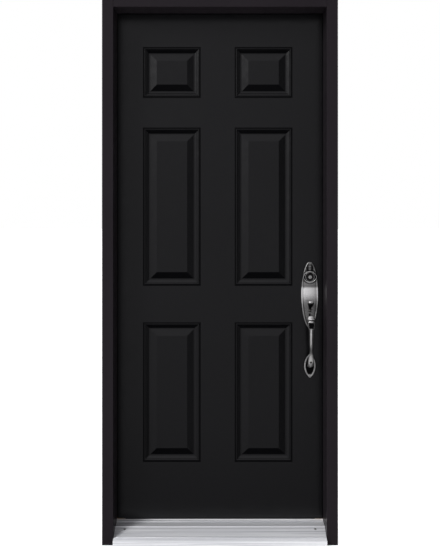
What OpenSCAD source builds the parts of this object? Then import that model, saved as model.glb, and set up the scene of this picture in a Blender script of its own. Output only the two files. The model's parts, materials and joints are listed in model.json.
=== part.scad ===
// Inswing panelled steel front door, hung in its frame, with sill, seals, hinges, handleset and deadbolt.
// Millimetres. X runs right as seen from outside, Y inwards, Z up. The origin is at floor level, in the
// middle of the frame's width, on the frame's outside face. The hinges are on the left seen from outside.

/* [Door slab] */
// Width of the slab
slab_w = 832; // [700:1:1100]
// Height of the slab
slab_h = 2007; // [1900:1:2500]
// Thickness of the slab
slab_t = 44.5; // [40:0.5:57]
// Thickness of the steel skins
skin_t = 0.6; // [0.4:0.1:1]
// Width of the folded edge of each skin on the stiles' edges
skin_return = 9; // [6:0.5:9]
// Width of the wooden stiles inside the slab
stile_core_w = 40; // [36:1:45]
// Height of the wooden rail in the slab's head
top_core_h = 40; // [25:1:80]
// Height of the composite rail in the slab's foot
bottom_core_h = 45; // [30:1:80]
// Width of the lock block beside the latch stile
lock_block_w = 88; // [80:1:88]
// Bond line between the core parts and the skins
glue = 0.1; // [0.05:0.01:0.15]

/* [Pressed panels] */
// Plain width from the hinge edge to the panels
hinge_plain_w = 111; // [95:1:140]
// Plain width from the latch edge to the panels
latch_plain_w = 129; // [129:1:150]
// Plain width between the two columns of panels
mullion_plain_w = 135; // [80:1:180]
// Plain height over the top panels
top_plain_h = 140; // [100:1:180]
// Height of the top panels
top_panel_h = 202; // [150:1:260]
// Plain height between the top and middle panels
upper_plain_h = 117; // [80:1:150]
// Height of the middle panels
middle_panel_h = 627; // [450:1:700]
// Plain height between the middle and lower panels
lock_plain_h = 145; // [100:1:200]
// Plain height under the lower panels
bottom_plain_h = 223; // [160:1:260]
// Width of the quirk at the moulding's outer edge
quirk_w = 4; // [1.5:0.1:5]
// Depth of the quirk
quirk_d = 3.6; // [1:0.1:4.5]
// Width of the bead
bead_w = 7; // [4:0.5:9]
// Depth of the bead's crest below the slab's face
bead_crest_d = 0.2; // [0:0.1:0.8]
// Width of the ogee from the bead to the panel's ground
ogee_w = 13; // [9:0.5:18]
// Depth of the panel's ground below the slab's face
ground_d = 9; // [6:0.5:12]
// Width of the flat ground
ground_w = 4; // [1:0.5:8]
// Width of the raised field's bevel
bevel_w = 26; // [15:1:35]
// Depth of the raised field below the slab's face
field_d = 2; // [0.5:0.5:4]

/* [Frame] */
// Depth of the jambs from outside to inside
jamb_depth = 166.7; // [140:0.1:200]
// Width of a side jamb's outside face
jamb_face = 43; // [38:1:60]
// Height of the head jamb's outside face
head_face = 31; // [28:1:60]
// How far the stops stand in from the rabbet
stop_lap = 12; // [10:0.5:14]
// Gap between the slab's edges and the rabbet
edge_gap = 3.2; // [3:0.1:4]
// Space for the seal between the stops and the slab's outside face
seal_space = 6.5; // [6:0.5:8]
// Width of the eased edges of the jambs
ease = 1.5; // [1:0.5:3]
// Radius of the holes for the screws that fix the frame to the wall
fixing_hole_r = 2.5; // [2:0.5:4]
// Height of the lower wall fixing holes
fixing_low_z = 620; // [560:10:700]
// Distance between the lower and upper wall fixing holes
fixing_pitch = 900; // [800:10:1000]

/* [Sill] */
// Height of the threshold under the door
sill_h = 50; // [40:1:60]
// Gap between the threshold and the slab's foot
foot_gap = 5; // [4.5:0.5:8]
// How far the sill's nose stands out in front of the jambs
nose_out = 18; // [10:1:30]
// Height of the sill's nose
nose_h = 22; // [19:1:24]
// Thickness of the aluminium deck
deck_t = 2; // [1.6:0.1:2.5]
// Distance of the ridge from the outside of the jambs
ridge_y = 60; // [55:1:64]
// Start of the ribbed band, from the outside of the jambs
ribs_y = 11; // [8:1:14]
// Number of ribs on the band
rib_count = 4; // [2:1:5]
// How far the threshold cap stands out in front of the slab
cap_lead = 3.5; // [1:0.5:6]
// Thickness of the threshold cap
cap_t = 12; // [10:1:14]
// Distance of the deck screws from the ends of the deck
deck_screw_inset = 38; // [25:1:60]
// Distance of the deck screws from the outside of the jambs
deck_screw_y = 47; // [35:1:50]

/* [Hinges] */
// Height of a hinge
hinge_h = 101.6; // [88:0.1:114]
// Width of one hinge leaf, from the pin's axis
leaf_w = 50.8; // [46:0.1:51]
// Thickness of a leaf
leaf_t = 2.4; // [2:0.1:3]
// Radius of the knuckles
knuckle_r = 6; // [5.5:0.1:6.2]
// Radius of a hinge pin
hinge_pin_r = 3; // [2.5:0.1:3.2]
// Distance of the pins' axis from the slab's inside face
pin_out = 12.7; // [11:0.1:14]
// Running clearance around the pins
pin_clear = 0.05; // [0.02:0.01:0.1]
// Distance of the top hinge from the slab's head
hinge_top = 178; // [120:1:220]
// Distance of the bottom hinge from the slab's foot
hinge_foot = 279; // [200:1:300]

/* [Lock] */
// Distance of the lock's axis from the latch edge
backset = 60.3; // [60.3:0.1:64]
// Height of the latch's axis above the slab's foot
latch_h = 817; // [760:1:960]
// Distance from the latch's axis up to the deadbolt's axis
bolt_pitch = 139.7; // [130:0.1:145]
// Radius of the two large bores through the slab
cross_bore_r = 27; // [26.5:0.1:28]
// Radius of the bores in the slab's edge
edge_bore_r = 12.7; // [12.5:0.1:13]
// Throw of the latch bolt
latch_throw = 12.7; // [12:0.1:13]
// Throw of the deadbolt
deadbolt_throw = 25.4; // [24:0.1:25.4]
// Width of the faceplates
faceplate_w = 25; // [22:0.5:25]
// Height of the faceplates
faceplate_h = 57; // [50:1:60]
// Sliding clearance of the bolts
slide_clear = 0.3; // [0.2:0.05:0.4]

/* [Handleset] */
// Width of the escutcheon
plate_w = 68; // [60:1:72]
// Height of the escutcheon
plate_h = 262; // [250:1:280]
// Thickness of the escutcheon
plate_t = 9; // [8:0.5:11]
// Height of the escutcheon's middle above the latch's axis
plate_rise = 69; // [64:1:72]
// Radius of the collar around the lock cylinder
collar_r = 14; // [13.5:0.5:15]
// Radius of the turning plug in the lock cylinder
plug_r = 6.5; // [6:0.1:7]
// How far the grip stands out from the slab
grip_out = 62; // [56:1:70]
// Distance from the latch's axis down to the middle of the grip's foot
grip_drop = 212; // [205:1:230]
// Width of the lower rosette
rosette_w = 47; // [40:1:50]
// Height of the lower rosette
rosette_h = 97; // [85:1:105]
// Thickness of the lower rosette
rosette_t = 7; // [6:0.5:9]
// Radius of the inside roses
rose_r = 32; // [30:0.5:34]

/* [Hidden] */
$fn = 48;
eps = 0.01;       // overshoot of a cutter past a face
loose = 0.3;      // room beside a soft or loosely set part
snug = 0.05;      // room around a part set in wood or metal

// Places of the frame and the slab
slab_x = slab_w/2;
rabbet_x = slab_x + edge_gap;
stop_x = rabbet_x - stop_lap;
outer_x = stop_x + jamb_face;
slab_y = jamb_depth - slab_t;
mid_y = jamb_depth - slab_t/2;
stop_y = slab_y - seal_space;
slab_z = sill_h + foot_gap;
slab_top = slab_z + slab_h;
head_rabbet_z = slab_top + edge_gap;
head_stop_z = head_rabbet_z - stop_lap;
frame_top = head_stop_z + head_face;
core_t = slab_t - 2*(skin_t + glue);
core_y = slab_y + skin_t + glue;
core_x = slab_x - skin_t - glue;
inner_core_x = slab_x - stile_core_w;

// Panels, each as [left, right, foot, head]
lower_panel_h = slab_h - top_plain_h - top_panel_h - upper_plain_h - middle_panel_h
    - lock_plain_h - bottom_plain_h;
panel_w = (slab_w - hinge_plain_w - latch_plain_w - mullion_plain_w)/2;
panel_feet = [slab_z + bottom_plain_h,
    slab_z + bottom_plain_h + lower_panel_h + lock_plain_h,
    slab_top - top_plain_h - top_panel_h];
panel_heights = [lower_panel_h, middle_panel_h, top_panel_h];
panel_lefts = [-slab_x + hinge_plain_w, slab_x - latch_plain_w - panel_w];
PANELS = [for (x = panel_lefts, i = [0:2])
    [x, x + panel_w, panel_feet[i], panel_feet[i] + panel_heights[i]]];

// Section of a panel's moulding, from its outer edge inwards, as [inset, depth]
bead_steps = 6;
ogee_steps = 8;
MOULDING = concat([[0, 0], [quirk_w*0.4, quirk_d]],
    [for (i = [0:bead_steps]) let (a = 180*i/bead_steps)
        [quirk_w + bead_w/2*(1 - cos(a)), quirk_d - (quirk_d - bead_crest_d)*sin(a)]],
    [for (i = [1:ogee_steps]) let (t = i/ogee_steps)
        [quirk_w + bead_w + ogee_w*t, quirk_d + (ground_d - quirk_d)*(1 - cos(180*t))/2]],
    [[quirk_w + bead_w + ogee_w + ground_w, ground_d],
     [quirk_w + bead_w + ogee_w + ground_w + bevel_w, field_d]]);

// Hinges
pin_x = -(slab_x + edge_gap/2);
pin_y = jamb_depth + pin_out;
hinge_bottom_z = slab_z + hinge_foot + hinge_h/2;
hinge_top_z = slab_top - hinge_top - hinge_h/2;
HINGE_Z = [hinge_bottom_z, (hinge_bottom_z + hinge_top_z)/2, hinge_top_z];
knuckles = 5;
knuckle_h = hinge_h/knuckles;
knuckle_gap = 0.3;
leaf_corner_r = 6;
leaf_screw_r = 2.2;
leaf_head_r = 4;
leaf_screw_l = 24;
leaf_screw_z = [-38, -13, 13, 38];
leaf_screw_in = [9, 18, 18, 9];     // distance of each screw from the leaf's free edge

// Lock
lock_x = slab_x - backset;
latch_z = slab_z + latch_h;
bolt_z = latch_z + bolt_pitch;
plate_z = latch_z + plate_rise;
grip_foot_z = latch_z - grip_drop;
faceplate_t = 2.4;
plate_screw_z = 22;                 // distance of a faceplate's screws from its middle
case_r = 12;
case_bore_r = 11.2;
bolt_r = 10.8;
bolt_half_t = 6.5;
bolt_back = 30;                     // length of a bolt behind the faceplate, when thrown out
cheek_t = 1.3;
cheek_gap = 5.2;                    // from the middle plane to the inner side of a cheek
cheek_half_h = 10;
latch_hub_r = 6.5;
bolt_hub_r = 5;
hub_half = 9;
post_x = 14;                        // places of the through screws, beside and under the axis
post_z = -17;
post_r = 4;
through_r = 2.4;
lock_block_foot = latch_z - grip_drop - 45;
lock_block_head = bolt_z + 60;

// Latch linkage
lug_r = 15;
lug_half = 2;
lift_arm = 12;
spindle_s = 7;
knob_out = 62;

// Deadbolt linkage
crank_r = deadbolt_throw/sqrt(2);
crank_pin_r = 1.8;
fork_gap = 2.5;
fork_out = 5;
tail_w = 6;
tail_t = 2;

// Thumb piece
thumb_rise = 14;                    // height of its pivot above the latch's axis
thumb_pivot_out = 5;                // distance of its pivot from the slab's face
thumb_pin_r = 1.5;
thumb_stem_half = 4.5;

// Grip and its screws
grip_top = -36;                     // height of the grip's upper end above the latch's axis
grip_head_r = 4;
grip_head_t = 2.6;
grip_boss_r = 9;
shank_r = 10;                       // shank of the inside knob

// Strikes
strike_t = 1.6;
strike_w = 28.6;
strike_hole_half = 8.5;
strike_hole_h = 26;
box_wall = 1;
latch_strike_h = 57;
deadbolt_strike_h = 70;
strike_screw_z = [21, 27];
latch_box_depth = 11.5;
deadbolt_box_depth = 24;
jamb_screw_l = 75;
jamb_screw_r = 2.2;
jamb_screw_ys = [35, 88];
sill_screw_z = 13;
sill_screw_ys = [30, 140];

// Corner pads
pad_t = 1;
pad_w = 30;
pad_h = 40;

// Sill
cap_y = slab_y - cap_lead;
deck_back = cap_y - loose;
deck_top = sill_h - 1.6;
rib_pitch = (ribs_y + nose_out)/rib_count;
slope_foot = nose_h + 4.5;
DECK_TOP = concat([[deck_back, sill_h - cap_t + 1], [deck_back, deck_top], [deck_back - 12, deck_top],
        [deck_back - 13, deck_top + 1], [deck_back - 15, deck_top + 1], [deck_back - 16, deck_top - 1],
        [deck_back - 18, deck_top - 1], [deck_back - 19, deck_top - 0.4],
        [ridge_y + 4, deck_top - 0.8], [ridge_y + 2.4, deck_top + 0.6], [ridge_y, deck_top + 1],
        [ridge_y - 2.4, deck_top + 0.2], [ridge_y - 4, deck_top - 1.6], [ribs_y, slope_foot]],
    [for (i = [0:rib_count - 1])
        let (y = ribs_y - i*rib_pitch, z = slope_foot - i*(slope_foot - nose_h)/rib_count)
        each [[y - rib_pitch*0.16, z + 0.9], [y - rib_pitch*0.5, z + 0.9], [y - rib_pitch*0.66, z - 0.9],
            [y - rib_pitch*0.9, z - 1.1]]],
    [[-nose_out + 0.6, nose_h], [-nose_out, nose_h - 0.8], [-nose_out, 1]]);
SUBSTRATE = [[-nose_out + deck_t + loose, 0], [-nose_out + deck_t + loose, nose_h - deck_t - 2],
    [ribs_y, slope_foot - deck_t - 1.5], [ridge_y - 4, deck_top - deck_t - 2.2],
    [deck_back - deck_t - loose, deck_top - deck_t - 1.6], [deck_back - deck_t - loose, sill_h - cap_t - 2],
    [jamb_depth - 2, sill_h - cap_t - 2], [jamb_depth - 2, 0]];

// ---- Shared shapes

module block(x, y, z) {             // a box from [low, high] pairs
    translate([x[0], y[0], z[0]]) cube([x[1] - x[0], y[1] - y[0], z[1] - z[0]]);
}

module slot_x(x, outline) {         // an outline in the YZ plane, drawn out along X
    translate([x[0], 0, 0]) rotate([90, 0, 90]) linear_extrude(x[1] - x[0]) polygon(outline);
}

module outside(x, z) {              // local Z points out of the slab's outside face, local Y points up
    translate([x, slab_y, z]) rotate([90, 0, 0]) children();
}

module inside(x, z) {               // local Z points into the room from the slab's inside face
    translate([x, jamb_depth, z]) rotate([90, 0, 180]) children();
}

module latch_edge(z) {              // local Z points out of the slab's latch edge, local Y inwards
    translate([slab_x, mid_y, z]) rotate([0, 90, 0]) children();
}

module across(x, y, z, r, half) {   // a round bar along Y, centred on y
    translate([x, y + half, z]) rotate([90, 0, 0]) cylinder(r = r, h = 2*half);
}

// A countersunk screw, its head flush at local Z 0 and its shank down local Z
module screw(l, r, head_r, head_h = 2.2) {
    difference() {
        union() {
            translate([0, 0, -head_h]) cylinder(r1 = r, r2 = head_r, h = head_h);
            translate([0, 0, -l + r]) cylinder(r = r, h = l - r);
            translate([0, 0, -l]) cylinder(r1 = r*0.2, r2 = r, h = r + eps);
        }
        for (turn = [0, 90]) rotate([0, 0, turn])
            translate([-head_r*0.55, -0.45, -1.2]) cube([head_r*1.1, 0.9, 2]);
    }
}

module screw_hole(l, r, head_r, head_h = 2.2) {
    translate([0, 0, -head_h]) cylinder(r1 = r + snug, r2 = head_r + snug, h = head_h);
    cylinder(r = head_r + snug, h = 5);
    translate([0, 0, -l - 0.5]) cylinder(r = r + snug, h = l + 0.5);
}

// A closed solid through rings of as many points each, which turn about the way that the rings go
module loft(rings) {
    n = len(rings[0]);
    last = len(rings) - 1;
    polyhedron(points = [for (ring = rings) each ring],
        faces = concat([[for (i = [0:n - 1]) i]],
            [for (k = [0:last - 1], i = [0:n - 1]) let (j = (i + 1) % n)
                [k*n + i, (k + 1)*n + i, (k + 1)*n + j, k*n + j]],
            [[for (i = [n - 1:-1:0]) last*n + i]]));
}

// An almond of two arcs, with its long axis up local Y and its rim sloping in by bevel over its thickness
module oval(w, h, t, bevel = 0) scale([1, h/w, 1]) cylinder(r1 = w/2, r2 = w/2 - bevel, h = t, $fn = 256);

module almond(w, h, t, bevel = 0) {
    r = (w*w + h*h)/(4*w);
    intersection() {
        translate([r - w/2, 0, 0]) cylinder(r1 = r, r2 = r - bevel, h = t, $fn = 256);
        translate([w/2 - r, 0, 0]) cylinder(r1 = r, r2 = r - bevel, h = t, $fn = 256);
    }
}

// ---- Frame

function side_jamb_outline() = [[stop_x, ease], [stop_x + ease, 0], [outer_x - ease, 0], [outer_x, ease],
    [outer_x, jamb_depth], [rabbet_x, jamb_depth], [rabbet_x, stop_y], [stop_x + ease, stop_y],
    [stop_x, stop_y - ease]];

kerf_half = 1.5;
kerf_d = 9;
kerf_in = 5;                        // distance of the seal's kerf from the rabbet

module side_jamb() {                // the jamb on the +X side
    difference() {
        linear_extrude(frame_top) polygon(side_jamb_outline());
        block([rabbet_x - kerf_in - kerf_half, rabbet_x - kerf_in + kerf_half],
            [stop_y - kerf_d, stop_y + eps], [sill_h, head_stop_z + kerf_in + kerf_half]);
        for (z = [fixing_low_z, fixing_low_z + fixing_pitch])
            translate([rabbet_x - 1, mid_y, z]) rotate([0, 90, 0])
                cylinder(r = fixing_hole_r, h = outer_x - rabbet_x + 2);
        for (y = jamb_screw_ys) frame_screw_place(y, frame_top - head_face/2)
            screw_hole(jamb_screw_l, jamb_screw_r, 4);
        for (y = sill_screw_ys) frame_screw_place(y, sill_screw_z)
            screw_hole(jamb_screw_l, jamb_screw_r, 4);
    }
}

module frame_screw_place(y, z) {
    translate([outer_x, y, z]) rotate([0, 90, 0]) children();
}

module frame_screw_places() {
    for (side = [0, 1]) mirror([side, 0, 0]) {
        for (y = jamb_screw_ys) frame_screw_place(y, frame_top - head_face/2) children();
        for (y = sill_screw_ys) frame_screw_place(y, sill_screw_z) children();
    }
}

module leaf_plate(thick, room) {    // a leaf's outline up to the pin's axis, thick along local +X
    y0 = pin_y - leaf_w - room;
    half = hinge_h/2 + room;
    union() {
        block([0, thick], [y0 + leaf_corner_r, pin_y], [-half, half]);
        block([0, thick], [y0, pin_y], [-half + leaf_corner_r, half - leaf_corner_r]);
        for (z = [-1, 1]) translate([0, y0 + leaf_corner_r, z*(half - leaf_corner_r)])
            rotate([0, 90, 0]) cylinder(r = leaf_corner_r, h = thick);
    }
}

module leaf_screw_places() {        // local Z points out of the leaf's face, which is at local X 0
    for (i = [0:3]) translate([0, pin_y - leaf_w + leaf_screw_in[i], leaf_screw_z[i]])
        rotate([0, 90, 0]) children();
}

module frame_leaf_place(z) {        // local +X points from the jamb into the opening
    translate([-rabbet_x, 0, z]) children();
}

module door_leaf_place(z) {         // local +X points from the slab to the jamb
    translate([-slab_x, 0, z]) mirror([1, 0, 0]) children();
}

module hinge_jamb() {
    color("#262527") difference() {
        mirror([1, 0, 0]) side_jamb();
        for (z = HINGE_Z) frame_leaf_place(z) {
            translate([-leaf_t - snug, 0, 0]) leaf_plate(leaf_t + 2, snug);
            leaf_screw_places() screw_hole(leaf_screw_l, leaf_screw_r, leaf_head_r);
        }
    }
}

module strike_place(z) {            // local Z points out of the jamb's rabbet, local Y inwards
    translate([rabbet_x, mid_y, z]) rotate([0, -90, 0]) children();
}

module strike_plate(h, lip, room = 0) {
    translate([-h/2 - room, -strike_w/2 - room, -strike_t - room])
        cube([h + 2*room, strike_w/2 + lip + 2*room, strike_t + room]);
}

module strike_box(depth, room = 0) {
    wall = box_wall + room;
    translate([-strike_hole_h/2 - wall, -strike_hole_half - wall, -depth - strike_t - room])
        cube([strike_hole_h + 2*wall, 2*(strike_hole_half + wall), depth + room]);
}

module strike_hollow(depth) {
    translate([-strike_hole_h/2, -strike_hole_half, -depth - strike_t + box_wall])
        cube([strike_hole_h, 2*strike_hole_half, depth + strike_t]);
}

latch_lip = jamb_depth - mid_y;     // the latch's strike reaches the jamb's inside edge
module latch_jamb() {
    color("#262527") difference() {
        side_jamb();
        strike_place(latch_z) {
            strike_plate(latch_strike_h, latch_lip + 1, snug);
            strike_box(latch_box_depth, snug);
            for (s = [-1, 1]) translate([s*strike_screw_z[0], 0, 0]) screw_hole(20, 2, 3.6);
        }
        strike_place(bolt_z) {
            strike_plate(deadbolt_strike_h, strike_w/2, snug);
            strike_box(deadbolt_box_depth, snug);
            for (s = [-1, 1]) translate([s*strike_screw_z[1], 0, 0]) screw_hole(20, 2, 3.6);
        }
    }
}

module latch_strike() {
    color("#b9b9b4") strike_place(latch_z) difference() {
        strike_plate(latch_strike_h, latch_lip);
        strike_hollow(latch_box_depth);
        for (s = [-1, 1]) translate([s*strike_screw_z[0], 0, 0]) screw_hole(20, 2, 3.6);
    }
}

module deadbolt_strike() {
    color("#b9b9b4") strike_place(bolt_z) difference() {
        strike_plate(deadbolt_strike_h, strike_w/2);
        strike_hollow(deadbolt_box_depth);
        for (s = [-1, 1]) translate([s*strike_screw_z[1], 0, 0]) screw_hole(20, 2, 3.6);
    }
}

module strike_boxes() {
    color("#8c8c8a") {
        strike_place(latch_z) difference() {
            strike_box(latch_box_depth);
            strike_hollow(latch_box_depth);
        }
        strike_place(bolt_z) difference() {
            strike_box(deadbolt_box_depth);
            strike_hollow(deadbolt_box_depth);
        }
    }
}

module strike_screws() {
    color("#b9b9b4") {
        for (s = [-1, 1]) strike_place(latch_z) translate([s*strike_screw_z[0], 0, 0]) screw(20, 2, 3.6);
        for (s = [-1, 1]) strike_place(bolt_z) translate([s*strike_screw_z[1], 0, 0]) screw(20, 2, 3.6);
    }
}

module head_jamb() {
    lower_edge = [[ease, head_stop_z], [0, head_stop_z + ease], [0, frame_top - ease], [ease, frame_top],
        [jamb_depth, frame_top], [jamb_depth, head_rabbet_z], [stop_y, head_rabbet_z],
        [stop_y, head_stop_z + ease], [stop_y - ease, head_stop_z]];
    color("#262527") difference() {
        slot_x([-rabbet_x, rabbet_x], lower_edge);
        for (side = [0, 1]) mirror([side, 0, 0])
            block([stop_x, rabbet_x + 1], [-1, stop_y], [head_stop_z - 1, frame_top + 1]);
        block([-stop_x - 1, stop_x + 1], [stop_y - kerf_d, stop_y + eps],
            [head_rabbet_z - kerf_in - kerf_half, head_rabbet_z - kerf_in + kerf_half]);
        for (side = [0, 1]) mirror([side, 0, 0]) for (y = jamb_screw_ys)
            frame_screw_place(y, frame_top - head_face/2) screw_hole(jamb_screw_l, jamb_screw_r, 4);
    }
}

// A bulb seal's section, as [across the stop from the kerf, towards the slab]
function seal_outline() = let (half = kerf_half - loose, bulb = kerf_in - 1, r = (seal_space - 2*loose)/2)
    concat([[-half, -kerf_d + 1], [half, -kerf_d + 1], [half, loose]],
        [for (a = [-90:30:90]) [bulb - r + r*cos(a), loose + r + r*sin(a)]],
        [for (a = [90:30:270]) [r - bulb + r*cos(a), loose + r + r*sin(a)]],
        [[-half, loose]]);

module side_seal(foot) {            // the seal on the +X side
    translate([rabbet_x - kerf_in, stop_y, foot]) linear_extrude(head_stop_z - foot - loose)
        polygon(seal_outline());
}

module hinge_side_seal() color("#1b1b1c") mirror([1, 0, 0]) side_seal(sill_h + loose);
module latch_side_seal() color("#1b1b1c") side_seal(sill_h + loose);

module head_seal() {
    points = [for (p = seal_outline()) [stop_y + p[1], head_rabbet_z - kerf_in + p[0]]];
    color("#1b1b1c") slot_x([-stop_x, stop_x], points);
}

module corner_pads() {              // foam pads on the rabbets, at the slab's lower corners
    color("#1b1b1c") for (side = [0, 1]) mirror([side, 0, 0])
        block([rabbet_x - pad_t, rabbet_x], [slab_y + 1, slab_y + 1 + pad_w],
            [sill_h + loose, sill_h + loose + pad_h]);
}

module frame_screws() {
    color("#8c8c8a") frame_screw_places() screw(jamb_screw_l, jamb_screw_r, 4);
}

// ---- Sill

function reversed(points) = [for (i = [len(points) - 1:-1:0]) points[i]];

module deck_screw_places() {
    slope = (deck_top - 1.6 - slope_foot)/(ridge_y - 4 - ribs_y);
    z = slope_foot + (deck_screw_y - ribs_y)*slope;
    for (side = [-1, 1]) translate([side*(stop_x - deck_screw_inset), deck_screw_y, z])
        rotate([atan(slope), 0, 0]) children();
}

module sill_deck() {
    top = len(DECK_TOP);
    soffit = concat([[deck_back - deck_t, sill_h - cap_t + 1], [deck_back - deck_t, deck_top - deck_t]],
        [for (i = [2:top - 4]) [DECK_TOP[i][0], DECK_TOP[i][1] - deck_t]],
        [[-nose_out + deck_t, nose_h - deck_t - 0.6], [-nose_out + deck_t, 1]]);
    color("#c4c7cb") difference() {
        slot_x([-stop_x + loose, stop_x - loose], concat(DECK_TOP, reversed(soffit)));
        deck_screw_places() screw_hole(22, 2, 4.5);
    }
}

module sill_substrate() {
    color("#3a3a3c") difference() {
        slot_x([-rabbet_x + loose, rabbet_x - loose], SUBSTRATE);
        for (side = [0, 1]) mirror([side, 0, 0])
            block([stop_x - loose, rabbet_x + 1], [-nose_out - 1, stop_y + loose], [-1, sill_h]);
        deck_screw_places() screw_hole(22, 2, 4.5);
        for (side = [0, 1]) mirror([side, 0, 0]) for (y = sill_screw_ys)
            frame_screw_place(y, sill_screw_z) screw_hole(jamb_screw_l, jamb_screw_r, 4);
        cap_screw_places() screw_hole(24, 2, 4);
    }
}

module cap_screw_places() {
    for (x = [-0.42, -0.14, 0.14, 0.42]) translate([x*slab_w, mid_y, sill_h]) children();
}

module threshold_cap() {
    r = 3;
    low = sill_h - cap_t;
    corner = function (y, z, from) [for (a = [from:22.5:from + 90]) [y + r*cos(a), z + r*sin(a)]];
    outline = concat([[cap_y, low - 1.8], [jamb_depth - 2 - loose, low - 1.8]],
        corner(jamb_depth - 2 - loose - r, sill_h - r, 0), corner(cap_y + r, sill_h - r, 90));
    color("#8b8478") difference() {
        slot_x([-rabbet_x + loose, rabbet_x - loose], outline);
        for (side = [0, 1]) mirror([side, 0, 0])
            block([stop_x - loose, rabbet_x + 1], [cap_y - 1, stop_y + loose], [low - 3, sill_h + 1]);
        cap_screw_places() screw_hole(24, 2, 4);
    }
}

module cap_screws() color("#8c8c8a") cap_screw_places() screw(24, 2, 4);
module deck_screws() color("#a9abad") deck_screw_places() screw(22, 2, 4.5);

// ---- Hinges

module knuckle_run(first) {         // every second knuckle from first
    for (i = [first:2:knuckles - 1]) translate([pin_x, pin_y, -hinge_h/2 + i*knuckle_h + knuckle_gap/2])
        cylinder(r = knuckle_r, h = knuckle_h - knuckle_gap);
}

module knuckle_room(first) {
    for (i = [first:2:knuckles - 1]) translate([pin_x, pin_y, -hinge_h/2 + i*knuckle_h - knuckle_gap/2])
        cylinder(r = knuckle_r + 0.5, h = knuckle_h + knuckle_gap);
}

module pin_bore() {
    translate([pin_x, pin_y, -hinge_h]) cylinder(r = hinge_pin_r + pin_clear, h = 2*hinge_h);
}

module frame_hinge_leaves() {
    color("#a5a39e") for (z = HINGE_Z) difference() {
        union() {
            difference() {
                frame_leaf_place(z) translate([-leaf_t, 0, 0]) leaf_plate(leaf_t, 0);
                translate([0, 0, z]) knuckle_room(1);
            }
            translate([0, 0, z]) knuckle_run(0);
        }
        translate([0, 0, z]) pin_bore();
        frame_leaf_place(z) leaf_screw_places() screw_hole(leaf_screw_l, leaf_screw_r, leaf_head_r);
    }
}

module door_hinge_leaves() {
    color("#a5a39e") for (z = HINGE_Z) difference() {
        union() {
            difference() {
                door_leaf_place(z) translate([-leaf_t, 0, 0]) leaf_plate(leaf_t, 0);
                translate([0, 0, z]) knuckle_room(0);
            }
            translate([0, 0, z]) knuckle_run(1);
        }
        translate([0, 0, z]) pin_bore();
        door_leaf_place(z) leaf_screw_places() screw_hole(leaf_screw_l, leaf_screw_r, leaf_head_r);
    }
}

module frame_hinge_screws() {
    color("#a5a39e") for (z = HINGE_Z) frame_leaf_place(z) leaf_screw_places()
        screw(leaf_screw_l, leaf_screw_r, leaf_head_r);
}

module door_hinge_screws() {
    color("#a5a39e") for (z = HINGE_Z) door_leaf_place(z) leaf_screw_places()
        screw(leaf_screw_l, leaf_screw_r, leaf_head_r);
}

module hinge_pins() {
    head_h = 2.5;
    color("#a5a39e") for (z = HINGE_Z) translate([pin_x, pin_y, z - hinge_h/2]) {
        cylinder(r = hinge_pin_r, h = hinge_h + eps);
        translate([0, 0, hinge_h]) cylinder(r1 = knuckle_r - 0.3, r2 = knuckle_r - 1.5, h = head_h);
        translate([0, 0, -1.5]) cylinder(r1 = hinge_pin_r - 1, r2 = hinge_pin_r, h = 1.5 + eps);
    }
}

// ---- Slab

// The moulding's section moved by d along its normal, into the slab
function unit(v) = v/norm(v);
function normal(a, b) = let (u = unit(b - a)) [-u[1], u[0]];
function sunk(points, d) = [for (i = [0:len(points) - 1])
    let (before = i == 0 ? [0, 1] : normal(points[i - 1], points[i]),
        after = i == len(points) - 1 ? [0, 1] : normal(points[i], points[i + 1]))
    points[i] + d*(before + after)/(1 + before*after)];

// The hollow that a panel presses into the outside face, from depth top down to a section
module panel_hollow(panel, section, top) {
    ring = function (inset, depth) [[panel[1] - inset, slab_y + depth, panel[2] + inset],
        [panel[0] + inset, slab_y + depth, panel[2] + inset],
        [panel[0] + inset, slab_y + depth, panel[3] - inset],
        [panel[1] - inset, slab_y + depth, panel[3] - inset]];
    loft(concat([ring(section[0][0], top)], [for (p = section) ring(p[0], p[1])]));
}

module to_inside_face() {           // mirrors the outside face's work onto the inside face
    translate([0, 2*mid_y, 0]) mirror([0, 1, 0]) children();
}

module hinge_mortises() {
    for (z = HINGE_Z) door_leaf_place(z) {
        translate([-leaf_t - snug, 0, 0]) leaf_plate(leaf_t + 2, snug);
        leaf_screw_places() screw_hole(leaf_screw_l, leaf_screw_r, leaf_head_r);
    }
}

module lock_bores() {
    for (z = [latch_z, bolt_z]) {
        across(lock_x, mid_y, z, cross_bore_r, slab_t);
        latch_edge(z) translate([0, 0, -backset]) cylinder(r = edge_bore_r, h = backset + 1);
        latch_edge(z) faceplate_cut();
        for (s = [-1, 1]) latch_edge(z) translate([s*plate_screw_z, 0, 0]) screw_hole(18, 1.9, 3.4);
    }
    across(lock_x, mid_y, grip_foot_z, through_r + 0.6, slab_t);
    outside(lock_x, latch_z + grip_top) translate([0, 0, -grip_head_t - 0.5])
        cylinder(r = grip_head_r + 0.5, h = grip_head_t + 1);
}

module faceplate_cut() {
    translate([-faceplate_h/2 - snug, -faceplate_w/2 - snug, -faceplate_t - snug])
        cube([faceplate_h + 2*snug, faceplate_w + 2*snug, faceplate_t + 1]);
}

module skin() {                     // the outside skin
    inner = sunk(MOULDING, skin_t);
    difference() {
        union() {
            block([-slab_x, slab_x], [slab_y, slab_y + skin_t], [slab_z, slab_top]);
            for (side = [0, 1]) mirror([side, 0, 0])
                block([slab_x - skin_t, slab_x], [slab_y, slab_y + skin_return], [slab_z, slab_top]);
            for (panel = PANELS) panel_hollow(panel, inner, skin_t/2);
        }
        for (panel = PANELS) panel_hollow(panel, MOULDING, -1);
        hinge_mortises();
        lock_bores();
    }
}

module exterior_skin() color("#232224") skin();

module interior_skin() {
    color("#232224") difference() {
        to_inside_face() skin();
        hinge_mortises();
    }
}

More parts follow.
